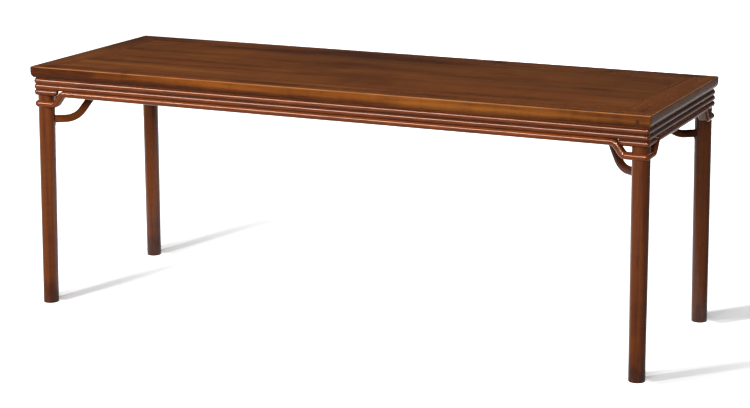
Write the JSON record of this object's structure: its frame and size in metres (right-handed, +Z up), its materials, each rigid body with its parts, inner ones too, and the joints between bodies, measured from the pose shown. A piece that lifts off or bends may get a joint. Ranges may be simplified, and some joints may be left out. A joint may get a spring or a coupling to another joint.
{
  "type": "painting table",
  "caption": "Long painting table with a framed flush top, stacked bead mouldings, hump-back stretchers wrapped round the round legs, and a curved brace inside each leg.",
  "frame": {"origin": "on the floor under the middle of the top", "axes": "+X along the top to the right as seen from the long front side, +Y to the back, +Z up"},
  "size_m": [2.15, 0.745, 0.82],
  "materials": {
    "frame_wood": "waxed, satin, warm orange-brown with dark figure",
    "panel_wood": "waxed, satin, warm mid-brown with a long straight grain",
    "moulding_wood": "waxed, half gloss, red-brown",
    "leg_wood": "waxed, half gloss, dark red-brown",
    "batten_wood": "planed, matt, unpolished underside",
    "peg_wood": "planed, matt, paler end grain"
  },
  "bodies": {
    "root": {"top_rail_front": "frame_wood", "top_rail_right": "frame_wood", "top_rail_back": "frame_wood", "top_rail_left": "frame_wood", "panel_board_front": "panel_wood", "panel_board_back": "panel_wood", "batten_far_left": "batten_wood", "batten_left": "batten_wood", "batten_middle": "batten_wood", "batten_right": "batten_wood", "batten_far_right": "batten_wood", "upper_bead_front": "moulding_wood", "upper_bead_right": "moulding_wood", "upper_bead_back": "moulding_wood", "upper_bead_left": "moulding_wood", "lower_bead_front": "moulding_wood", "lower_bead_right": "moulding_wood", "lower_bead_back": "moulding_wood", "lower_bead_left": "moulding_wood", "collar_front_left": "moulding_wood", "collar_front_right": "moulding_wood", "collar_back_left": "moulding_wood", "collar_back_right": "moulding_wood", "stretcher_front": "moulding_wood", "stretcher_right": "moulding_wood", "stretcher_back": "moulding_wood", "stretcher_left": "moulding_wood", "leg_front_left": "leg_wood", "leg_front_right": "leg_wood", "leg_back_left": "leg_wood", "leg_back_right": "leg_wood", "brace_front_left": "leg_wood", "brace_front_right": "leg_wood", "brace_back_left": "leg_wood", "brace_back_right": "leg_wood", "brace_wedges": "peg_wood", "brace_pins": "peg_wood", "mitre_pins": "peg_wood", "moulding_pegs": "peg_wood", "stretcher_pegs": "peg_wood", "collar_pegs": "peg_wood"}
  },
  "joints": []
}
